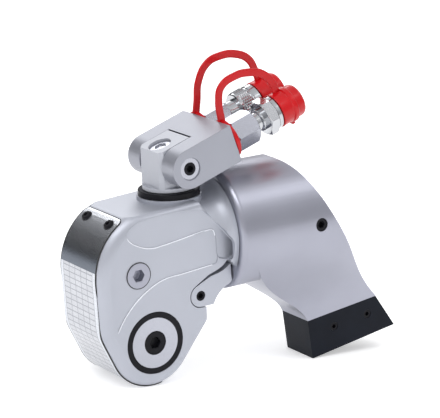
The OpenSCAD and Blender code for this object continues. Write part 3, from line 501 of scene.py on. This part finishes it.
def pocket_cutter(side):
    bpy.ops.object.select_all(action="DESELECT")
    bpy.ops.curve.primitive_bezier_circle_add()
    cutter = bpy.context.active_object
    smooth_line(cutter, [(x * MM, z * MM, 0) for x, z in POCKET_RIM], closed=True)
    cutter.data.dimensions = "2D"
    cutter.data.fill_mode = "BOTH"
    cutter.data.resolution_u = 5
    cutter.data.extrude = (CUTTER_HALF - POCKET_FILLET) * MM
    cutter.data.bevel_depth = POCKET_FILLET * MM
    cutter.data.bevel_resolution = 2
    cutter.data.offset = -POCKET_FILLET * MM
    cutter.rotation_euler = (math.pi / 2, 0, 0)
    cutter.location.y = (MIDDLE_Y + side * (HEAD_SIDE - POCKET_DEPTH + CUTTER_HALF)) * MM
    bpy.ops.object.convert(target="MESH")
    bpy.ops.object.transform_apply(location=True, rotation=True, scale=True)
    cutter = bpy.context.active_object
    bpy.ops.object.mode_set(mode="EDIT")
    bpy.ops.mesh.select_all(action="SELECT")
    bpy.ops.mesh.remove_doubles(threshold=SAME_POINT * MM)
    bpy.ops.mesh.normals_make_consistent(inside=False)
    bpy.ops.object.mode_set(mode="OBJECT")
    return cutter


def carve_pockets(piece):
    for side in (-1, 1):
        cut_with(piece, pocket_cutter(side), "DIFFERENCE")


dressed_copy("housing", HEAD_EDGE, flats=FLAT_REACH, carve=carve_pockets)

# %% [markdown]
# ## Lips of the steps
# The rounded lips of the two steps catch a bright highlight, and the gap round the side plug
# holds dark shade. A bevel of the step would have to run through the cut's narrow faces, so a
# thin round bead is laid along each line instead, half sunk in the metal. The lip beads have
# a light finish that paints their highlight, and the plug's bead a dark one that paints its shade.

# %% Lips of the steps
BAND_DEPTH = 0.6
LIP_RADIUS = 0.4
STEP_LIP_DEPTH = 0.2
POCKET_LIP_DEPTH = BAND_DEPTH + 0.15
STEP_LINE = (
    (-30, 13), (-24.5, 21.6), (-17.8, 29.3), (-10, 35.9), (-1.3, 41.2),
    (8, 45), (27, 46.8), (46, 48.5), (50, 48.8),
)
# The lip follows the pocket's rim from its front end to where the rim turns down.
POCKET_LINE = POCKET_RIM[:9]


def bead_along(name, points, radius, finish, body, closed=False):
    """A round bead through points in metres, half sunk in the piece that carries it."""
    bpy.ops.object.select_all(action="DESELECT")
    bpy.ops.curve.primitive_bezier_curve_add()
    bead = bpy.context.active_object
    smooth_line(bead, points, closed)
    bead.data.dimensions = "3D"
    bead.data.resolution_u = 5
    bead.data.bevel_depth = radius * MM
    bead.data.bevel_resolution = 2
    bead.data.use_fill_caps = True
    bpy.ops.object.convert(target="MESH")
    bead = bpy.context.active_object
    bead.name = bead.data.name = name
    bpy.ops.object.shade_smooth()
    bead.data.materials.append(FINISH[finish])
    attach(bead, body)
    print(name, len(bead.data.polygons), "faces")


LIPS = (("step", STEP_LINE, STEP_LIP_DEPTH), ("pocket", POCKET_LINE, POCKET_LIP_DEPTH))
for side, word in ((-1, "near"), (1, "far")):
    for name, line, depth in LIPS:
        lip = [Vector((x, MIDDLE_Y + side * (HEAD_SIDE - depth), z)) * MM for x, z in line]
        # Each lip bead is a painted highlight: a light finish along the step's edge.
        bead_along(f"{word}_{name}_lip", lip, LIP_RADIUS, "worn_edge", "housing")

# %% Painted shade in the gap round the side plug
GAP_RADIUS = 0.35
GAP_DEPTH = 0.3
GAP_POINTS = 24

plug_low, plug_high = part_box("side_plug")
plug_centre = (Vector(plug_low) + Vector(plug_high)) / 2
plug_radius = (plug_high[0] - plug_low[0]) / 2
plug_face = Vector((plug_centre.x, plug_low[1] + GAP_DEPTH * MM, plug_centre.z))
turns = [math.tau * i / GAP_POINTS for i in range(GAP_POINTS)]
gap = [plug_face + plug_radius * Vector((math.cos(t), 0, math.sin(t))) for t in turns]
# A bead in a dark finish paints the shade in the gap round the plug.
bead_along("plug_gap_shade", gap, GAP_RADIUS, "seal_rubber", "housing", closed=True)

# %% [markdown]
# ## Springs
# Two coil springs are shorter when the pawl or the trigger presses on them. They could be
# modelled in both states, but here each is one dressed copy of its solid, with a mesh of its own.

# %% Springs
SPRING_EDGE = 0.04
SPRING_SMOOTH = 50
# The drive pawl's spring leans with the lever at rest.
LEVER_TURN = math.radians(13)
LEVER_AXIS = Vector((math.sin(LEVER_TURN), 0, math.cos(LEVER_TURN)))
SPRINGS = (
    ("trigger_spring", "trigger_pivot", Vector((0, 0, 1)), 0.8),
    ("drive_pawl_spring", "drive_pawl_pivot", LEVER_AXIS, 0.5),
)
for name, joint, axis, keep in SPRINGS:
    spring = dressed_copy(name, SPRING_EDGE, angle=SPRING_SMOOTH)
    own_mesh(spring)

# %% [markdown]
# ## Front plate
# A polished stainless strip wraps the nose and carries a ruled chart. The strip is a merged copy
# of its solid. Its UV map is measured along the curve, so the ruled lines and the brushing
# follow the strip round the nose instead of being projected through it.

# %% Front plate
PLATE_EDGE = 0.25
# Millimetres of plate for one unit of its UV map.
UV_SPAN = 100
# Centre and radius of each arc, the turns in degrees where it starts and ends, and its steps.
PLATE_ARCS = (
    (Vector((4.4, 51)), 47.7, 119, 193, 60),
    (Vector((-9.2, 18.5)), NOSE_RADIUS - 0.5, 194, 204, 4),
    (Vector((0, 0)), NOSE_RADIUS, 205, 285, 50),
)


def ring_points(centre, radius, first, last, count):
    turns = [math.radians(first + (last - first) * i / count) for i in range(count + 1)]
    return [centre + radius * Vector((math.cos(t), math.sin(t))) for t in turns]


plate_line = [point for arc in PLATE_ARCS for point in ring_points(*arc)]
plate_run = [0.0]
for first, second in zip(plate_line, plate_line[1:]):
    plate_run.append(plate_run[-1] + (second - first).length)


def run_along_plate(x, z):
    spot = Vector((x, z)) / MM
    nearest = min(range(len(plate_line)), key=lambda i: (plate_line[i] - spot).length_squared)
    after = plate_line[min(nearest + 1, len(plate_line) - 1)]
    along = (after - plate_line[max(nearest - 1, 0)]).normalized()
    return plate_run[nearest] + (spot - plate_line[nearest]).dot(along)


front_plate = dressed_copy("front_shroud", PLATE_EDGE)
plate_uv = front_plate.data.uv_layers.new(name="plate_run")
for loop in front_plate.data.loops:
    corner = front_plate.data.vertices[loop.vertex_index].co
    across = corner.y / MM - MIDDLE_Y
    plate_uv.data[loop.index].uv = (across / UV_SPAN, run_along_plate(corner.x, corner.z) / UV_SPAN)
print("front plate runs for", round(plate_run[-1], 1), "mm")

# %% [markdown]
# ## Seam
# The strip lies in a bed in the casting, and the narrow gap round it shows a thin dark line of
# shade. It could be painted on the metal, but a bead in a dark finish, half sunk in the seam,
# paints that shade and keeps its width from every side.

# %% Painted shade in the seam round the front plate
SEAM_WIDTH = 0.35
SEAM_BEAD = 0.45
SEAM_DEPTH = 0.3
SEAM_STEP = 2
PLATE_CORNER = 5
CORNER_STEP = 15


def on_plate(run, across):
    """A point just under the outer face of the plate, run millimetres from its top end."""
    i = max(j for j in range(len(plate_run) - 1) if plate_run[j] <= max(run, 0))
    along = (plate_line[i + 1] - plate_line[i]).normalized()
    outwards = Vector((along.y, -along.x))
    spot = plate_line[i] + along * (run - plate_run[i]) - SEAM_DEPTH * outwards
    return Vector((spot.x, MIDDLE_Y + across, spot.y)) * MM


plate_low, plate_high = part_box("front_shroud")
seam_half = (plate_high[1] - plate_low[1]) / 2 / MM + SEAM_WIDTH / 2
seam_path = [(run, seam_half) for run in range(int(plate_run[-1]) - 1, PLATE_CORNER, -SEAM_STEP)]
for turn in range(0, 91, CORNER_STEP):
    t = math.radians(turn)
    seam_path.append((
        PLATE_CORNER - (PLATE_CORNER + SEAM_WIDTH / 2) * math.sin(t),
        seam_half - PLATE_CORNER + PLATE_CORNER * math.cos(t),
    ))
seam_path += [(run, -across) for run, across in reversed(seam_path)]
seam_points = [on_plate(run, across) for run, across in seam_path]
# A dark bead paints the shade in the seam's gap.
bead_along("plate_seam_shade", seam_points, SEAM_BEAD, "seal_rubber", "housing")

# %% [markdown]
# ## Chart and brushing
# The strip is brushed across, and its lower part carries a ruled grid with no depth. The grid
# could be cut as grooves, but it is flat on the real strip, so a brick pattern on the UV map
# draws its lines. Just above the grid the colour is darkened, a painted reflection of the dark
# wall that the strip mirrors there.

# %% Brushed metal of the front plate
BRUSH_STRETCH = (6, 900, 1)
BRUSH_RELIEF = 0.06
# Where each tint of the brushing starts.
BRUSH_TINTS = ((0.35, (0.50, 0.52, 0.56, 1)), (0.65, (0.66, 0.68, 0.72, 1)))

plate_tree = FINISH["brushed_plate"].node_tree
plate_shader = plate_tree.nodes["Principled BSDF"]
wire = plate_tree.links.new
uv = node_of(plate_tree, "ShaderNodeUVMap", uv_map="plate_run")
brush = node_of(plate_tree, "ShaderNodeMapping", Scale=BRUSH_STRETCH)
strokes = node_of(plate_tree, "ShaderNodeTexNoise", Scale=1.0, Detail=4.0)
wire(uv.outputs[0], brush.inputs[0])
wire(brush.outputs[0], strokes.inputs["Vector"])
steel = node_of(plate_tree, "ShaderNodeValToRGB")
for stop, (position, tint) in zip(steel.color_ramp.elements, BRUSH_TINTS):
    stop.position = position
    stop.color = tint
wire(strokes.outputs[0], steel.inputs[0])
plate_relief = node_of(plate_tree, "ShaderNodeBump", Strength=BRUSH_RELIEF, Distance=RELIEF_HEIGHT)
wire(strokes.outputs[0], plate_relief.inputs["Height"])
wire(plate_relief.outputs[0], plate_shader.inputs["Normal"])
print("brushing across the plate")

# %% Ruled grid and painted dark reflection of the front plate
CHART_TOP = 0.44
CHART_END = 1.44
CHART_HALF = 0.212
GRID_SHIFT = (0.21, 0, 0)
GRID_LOOK = {
    "Color1": (0.52, 0.53, 0.56, 1),
    "Color2": (0.48, 0.49, 0.52, 1),
    "Mortar": (0.28, 0.29, 0.32, 1),
    "Scale": 1.0,
    "Mortar Size": 0.0035,
    "Brick Width": 0.084,
    "Row Height": 0.042,
}
# This tint darkens the band just above the chart, a painted reflection of the dark wall.
DARK_REFLECTION_TINT = (0.22, 0.24, 0.27, 1)
DARK_REFLECTION_START = {"From Min": 0.24, "From Max": 0.37}

ruled = node_of(plate_tree, "ShaderNodeTexBrick", offset=0.0, squash=1.0)
set_looks(ruled, GRID_LOOK)
shift = node_of(plate_tree, "ShaderNodeMapping", Location=GRID_SHIFT)
wire(uv.outputs[0], shift.inputs[0])
wire(shift.outputs[0], ruled.inputs["Vector"])
apart = node_of(plate_tree, "ShaderNodeSeparateXYZ")
wire(uv.outputs[0], apart.inputs[0])


def compare(operation, value, limit):
    made = node_of(plate_tree, "ShaderNodeMath", operation=operation)
    made.inputs[1].default_value = limit
    wire(value, made.inputs[0])
    return made.outputs[0]


def both(first, second):
    made = node_of(plate_tree, "ShaderNodeMath", operation="MULTIPLY")
    wire(first, made.inputs[0])
    wire(second, made.inputs[1])
    return made.outputs[0]


def between(value, low, high):
    return both(compare("GREATER_THAN", value, low), compare("LESS_THAN", value, high))


chart = both(
    between(apart.outputs["X"], -CHART_HALF, CHART_HALF),
    between(apart.outputs["Y"], CHART_TOP, CHART_END),
)
# Painted reflection: the colour darkens smoothly towards the top of the chart.
reflection_band = node_of(plate_tree, "ShaderNodeMapRange", interpolation_type="SMOOTHSTEP")
set_looks(reflection_band, DARK_REFLECTION_START)
wire(apart.outputs["Y"], reflection_band.inputs["Value"])
painted_reflection_mask = both(reflection_band.outputs[0], compare("LESS_THAN", apart.outputs["Y"], CHART_TOP))
reflection_darkened = node_of(plate_tree, "ShaderNodeMix", data_type="RGBA", blend_type="MULTIPLY")
reflection_darkened.inputs["B"].default_value = DARK_REFLECTION_TINT
wire(painted_reflection_mask, reflection_darkened.inputs["Factor"])
wire(steel.outputs[0], reflection_darkened.inputs["A"])
inked = node_of(plate_tree, "ShaderNodeMix", data_type="RGBA")
wire(chart, inked.inputs["Factor"])
wire(reflection_darkened.outputs["Result"], inked.inputs["A"])
wire(ruled.outputs["Color"], inked.inputs["B"])
wire(inked.outputs["Result"], plate_shader.inputs["Base Color"])
print("ruled chart from", CHART_TOP * UV_SPAN, "to", CHART_END * UV_SPAN, "mm along the plate")

# %% [markdown]
# ## Turned and hexagonal pieces
# Couplers are lathe work. Half of the outline is drawn by extruding one vertex from point to
# point, and Spin turns it round the axis. A hexagon is a six-sided cylinder that is cut by a
# turned barrel, which leaves the curved chamfers that a spanner flat has on a real nut.

# %% Helpers for lathe work
POST_X = 34.5
PIVOT_Z = 122.4
YOKE_TILT = math.radians(18.5)
YOKE_REACH = 40.7
PORT_SPREAD = 17.5
LATHE_STEPS = 64
CHAMFER_INSET = 0.1
BARREL_ROOM = 0.2
HEX_EDGE = 0.25


def port_frame(side):
    """Local Z runs out of the coupler port on that side, from the end face of the yoke."""
    centre = Matrix.Translation(Vector((POST_X, MIDDLE_Y, PIVOT_Z)) * MM)
    pivot = centre @ Matrix.Rotation(-YOKE_TILT, 4, "Y")
    face = Matrix.Translation(Vector((YOKE_REACH, side * PORT_SPREAD, 0)) * MM)
    return pivot @ face @ Matrix.Rotation(math.pi / 2, 4, "Y")


def turned(name, outline, steps=LATHE_STEPS):
    """Spin an outline of (radius, height) points in millimetres round the Z axis."""
    bpy.ops.object.select_all(action="DESELECT")
    bpy.ops.mesh.primitive_plane_add(size=MM)
    piece = bpy.context.active_object
    piece.name = piece.data.name = name
    bpy.ops.object.mode_set(mode="EDIT")
    bpy.ops.mesh.select_all(action="SELECT")
    bpy.ops.mesh.merge(type="CENTER")
    bpy.ops.transform.translate(value=(outline[0][0] * MM, 0, outline[0][1] * MM))
    for (r0, h0), (r1, h1) in zip(outline, outline[1:]):
        step = ((r1 - r0) * MM, 0, (h1 - h0) * MM)
        bpy.ops.mesh.extrude_vertices_move(TRANSFORM_OT_translate={"value": step})
    bpy.ops.mesh.select_all(action="SELECT")
    bpy.ops.mesh.spin(steps=steps, angle=2 * math.pi, center=(0, 0, 0), axis=(0, 0, 1))
    bpy.ops.mesh.select_all(action="SELECT")
    bpy.ops.mesh.remove_doubles(threshold=SAME_POINT * MM)
    bpy.ops.mesh.normals_make_consistent(inside=False)
    bpy.ops.object.mode_set(mode="OBJECT")
    return piece


def hex_bar(name, flats, low, high, chamfer):
    """A hexagon with turned chamfers, from low to high along Z, in millimetres."""
    corner = flats / 2 / math.cos(math.radians(30))
    bpy.ops.object.select_all(action="DESELECT")
    bpy.ops.mesh.primitive_cylinder_add(
        vertices=6, radius=corner * MM, depth=(high - low) * MM, location=(0, 0, (low + high) / 2 * MM)
    )
    bar = bpy.context.active_object
    bar.name = bar.data.name = name
    bpy.ops.object.transform_apply(location=True, rotation=True, scale=True)
    rim = flats / 2 - CHAMFER_INSET
    wide = corner + BARREL_ROOM
    barrel = turned("barrel", [
        (0, low), (rim, low), (wide, low + chamfer), (wide, high - chamfer), (rim, high), (0, high),
    ])
    cut_with(bar, barrel, "INTERSECT")
    round_edges(bar, HEX_EDGE)
    return bar


def join_pieces(name, *pieces):
    bpy.ops.object.select_all(action="DESELECT")
    for piece in pieces:
        piece.select_set(True)
    bpy.context.view_layer.objects.active = pieces[0]
    bpy.ops.object.join()
    pieces[0].name = pieces[0].data.name = name
    return pieces[0]


def set_in_place(piece, matrix):
    make_active(piece)
    piece.matrix_world = matrix
    bpy.ops.object.transform_apply(location=True, rotation=True, scale=True)
    return piece


# %% Adapters
ADAPTER_FLATS = 23
ADAPTER_CHAMFER = 1.6
HEX_START = 4
HEX_END = 24
STUB_OUTLINE = [(0, -9), (8, -9), (8, 0), (9.6, 0.2), (9.6, 4.4), (0, 4.4)]
adapters = []
for side in (-1, 1):
    bar = hex_bar("adapter_hex", ADAPTER_FLATS, HEX_START, HEX_END, ADAPTER_CHAMFER)
    stub = turned("adapter_stub", STUB_OUTLINE)
    adapters.append(set_in_place(join_pieces("adapter", bar, stub), port_frame(side)))
adapters = join_pieces("hose_adapters", *adapters)
smooth_skin(adapters)
finish_piece(adapters, "coupler_adapters")
print("adapters", len(adapters.data.polygons), "faces")

# %% [markdown]
# ## Couplers
# The near port has the male half of a quick coupler, with a hexagon nut. The far port has the
# female half, whose sleeve is pulled back to let go of the hose. The knurl on the sleeve could be
# a bump in its finish, but it shows against the light, so each face of its band is poked
# outwards into a small pyramid.

# %% Near coupler
NUT_FLATS = ADAPTER_FLATS + 2
NUT_CHAMFER = 1.4
NUT_START = 33
NUT_END = 41
SPIGOT_OUTLINE = [
    (0, 17), (6, 17), (6, 24.2), (7.6, 24.4), (7.6, 26), (6.8, 26.6), (6.8, 29.4), (8.4, 30), (8.4, 33.4),
    (11.4, 33.4), (11.4, 41), (12.5, 41.2), (12.6, 41.8), (12.6, 43.9), (12.1, 44.6), (9, 44.7),
    (9, 56.4), (8.2, 57.4), (4.4, 57.4), (4, 57), (4, 45.5), (0, 45.5),
]
nut = hex_bar("coupler_nut", NUT_FLATS, NUT_START, NUT_END, NUT_CHAMFER)
spigot = turned("coupler_spigot", SPIGOT_OUTLINE)
near_coupler = join_pieces("near_coupler", nut, spigot)
smooth_skin(near_coupler)
finish_piece(set_in_place(near_coupler, port_frame(-1)), "male_coupler")
print("near coupler", len(near_coupler.data.polygons), "faces")

# %% Far coupler
SOCKET_OUTLINE = [
    (0, 17), (6, 17), (6, 24.2), (10.2, 24.4), (10.6, 25), (10.6, 26.4), (9, 27), (9, 48),
    (10.8, 48.6), (10.8, 58.6), (10, 59.6), (6.2, 59.6), (5.5, 59), (5.5, 49.5), (0, 49.5),
]
far_coupler = turned("far_coupler", SOCKET_OUTLINE)
smooth_skin(far_coupler)
finish_piece(set_in_place(far_coupler, port_frame(1)), "female_coupler")
print("far coupler", len(far_coupler.data.polygons), "faces")

# %% Knurled sleeve
KNURL_COUNT = 40
KNURL_ROWS = 5
KNURL_PITCH = 1.6
KNURL_START = 36.2
KNURL_END = KNURL_START + KNURL_ROWS * KNURL_PITCH
KNURL_RADIUS = 12.9
KNURL_HEIGHT = 0.55
# Between the rows, the outer faces lie further out than this, and the faces of the bore don't.
BAND_FLOOR = 12.6
SLEEVE_SMOOTH = 18
sleeve_outline = [(9.1, 34), (12.2, 34), (12.8, 34.5), (12.8, 36)]
sleeve_outline += [(KNURL_RADIUS, KNURL_START + i * KNURL_PITCH) for i in range(KNURL_ROWS + 1)]
sleeve_outline += [
    (12.6, 44.6), (12.2, 45.2), (12.2, 46.2), (12.7, 46.8), (12.7, 51.2),
    (12.1, 51.9), (11, 51.9), (11, 43.5), (9.1, 43.5), (9.1, 34),
]
sleeve = turned("knurled_sleeve", sleeve_outline, steps=KNURL_COUNT)
make_active(sleeve)
bpy.ops.object.mode_set(mode="EDIT")
bpy.ops.mesh.select_all(action="DESELECT")
bpy.ops.object.mode_set(mode="OBJECT")
for face in sleeve.data.polygons:
    in_rows = KNURL_START * MM < face.center.z < KNURL_END * MM
    face.select = in_rows and face.center.xy.length > BAND_FLOOR * MM
knurled = sum(face.select for face in sleeve.data.polygons)
bpy.ops.object.mode_set(mode="EDIT")
bpy.ops.mesh.poke(offset=KNURL_HEIGHT * MM)
bpy.ops.object.mode_set(mode="OBJECT")
smooth_skin(sleeve, SLEEVE_SMOOTH)
finish_piece(set_in_place(sleeve, port_frame(1)), "coupler_sleeve")
print("sleeve with", knurled, "knurls")

# %% [markdown]
# ## Dust caps and straps
# The red caps are dip-moulded vinyl: a soft cup with a bead round it and a small pull tab. Each
# hangs on a strap that ends in a flat ring behind the adapter. The strap is a curve through
# the same points as its solid, given a rounded flat section, and then made a mesh. When
# a cap is pulled off, its strap stretches; here the strap is attached to no body.

# %% Dust caps
NEAR_CAP_START = 45
FAR_CAP_START = 52.3
CAP_SMOOTH = 40
TAB_SIZE = (3.2, 4.6, 2.6)
TAB_PLACE = Vector((14.2, 0, 11.6)) * MM
TAB_EDGE = 0.7
CUP_OUTLINE = [
    (0, 13.2), (10.6, 13.2), (11.4, 12.4), (11.4, 0.4), (11.8, 0), (12.7, 0), (13, 0.4), (13, 1.6),
    (12.8, 2), (12.8, 8.6), (13, 9.2), (13.7, 9.7), (13.8, 10.4), (13.8, 12.4), (13.6, 13), (12.9, 13.5),
    (12.4, 14.2), (12.4, 18), (12.1, 19.3), (11.4, 20.3), (10.2, 20.9), (9.2, 21), (8.8, 20.6), (0, 20.6),
]


def dust_cap(node, side, start):
    cup = turned("cup", CUP_OUTLINE)
    bpy.ops.object.select_all(action="DESELECT")
    bpy.ops.mesh.primitive_cube_add(size=MM)
    tab = bpy.context.active_object
    tab.scale = TAB_SIZE
    tab.location = TAB_PLACE
    bpy.ops.object.transform_apply(location=True, rotation=True, scale=True)
    round_edges(tab, TAB_EDGE, segments=3)
    cap = join_pieces("dressed_" + node, cup, tab)
    smooth_skin(cap, CAP_SMOOTH)
    pushed_on = port_frame(side) @ Matrix.Translation((0, 0, start * MM))
    return finish_piece(set_in_place(cap, pushed_on), node)


near_cap = dust_cap("near_cap", -1, NEAR_CAP_START)
far_cap = dust_cap("far_cap", 1, FAR_CAP_START)
print("caps", len(near_cap.data.polygons) + len(far_cap.data.polygons), "faces")

# %% Straps
STRAP_WIDTH = 6
STRAP_THICKNESS = 2
STRAP_SMOOTH = 50
# Each point is its distance along the port's axis, and its height over that axis.
NEAR_PATH = ((2, 14), (5, 29), (10.5, 37.5), (24.5, 39.7), (35, 37), (45, 31), (51, 20), (51.5, 12.9))
FAR_PATH = (
    (2, 14), (6, 22), (12, 34.5), (23.5, 44), (36, 44.2), (48, 39.7), (57, 31), (59.3, 20), (59.5, 12.9),
)
STRAP_RING = [
    (8.2, 0.7), (8.7, 0.2), (14.2, 0.2), (15, 0.9), (15, 3.1),
    (14.2, 3.8), (8.7, 3.8), (8.2, 3.3), (8.2, 0.7),
]


def strap_section():
    """The rounded flat section that is swept along a strap."""
    bpy.ops.curve.primitive_bezier_circle_add(radius=1)
    section = bpy.context.active_object
    section.data.splines.clear()
    ring = section.data.splines.new("POLY")
    half, rim = STRAP_WIDTH / 2, STRAP_THICKNESS / 2
    turns = [math.radians(turn) for turn in range(-90, 91, 30)]
    points = [(half - rim + rim * math.cos(t), rim * math.sin(t)) for t in turns]
    points += [(-x, -y) for x, y in points]
    ring.points.add(len(points) - 1)
    for point, (x, y) in zip(ring.points, points):
        point.co = (y * MM, x * MM, 0, 1)
    ring.use_cyclic_u = True
    return section


def strap(node, side, path):
    section = strap_section()
    bpy.ops.curve.primitive_bezier_curve_add(radius=1)
    line = bpy.context.active_object
    smooth_line(line, [Vector((-above, 0, along)) * MM for along, above in path])
    line.data.dimensions = "3D"
    line.data.twist_mode = "MINIMUM"
    line.data.resolution_u = 10
    line.data.bevel_mode = "OBJECT"
    line.data.bevel_object = section
    line.data.use_fill_caps = True
    make_active(line)
    bpy.ops.object.convert(target="MESH")
    band = bpy.context.active_object
    bpy.data.objects.remove(section, do_unlink=True)
    piece = join_pieces("dressed_" + node, band, turned("strap_ring", STRAP_RING))
    smooth_skin(piece, STRAP_SMOOTH)
    set_in_place(piece, port_frame(side))
    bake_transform(piece)
    return finish_piece(piece, node, rides=False)


near_strap = strap("near_strap", -1, NEAR_PATH)
far_strap = strap("far_strap", 1, FAR_PATH)
print("straps", len(near_strap.data.polygons) + len(far_strap.data.polygons), "faces")
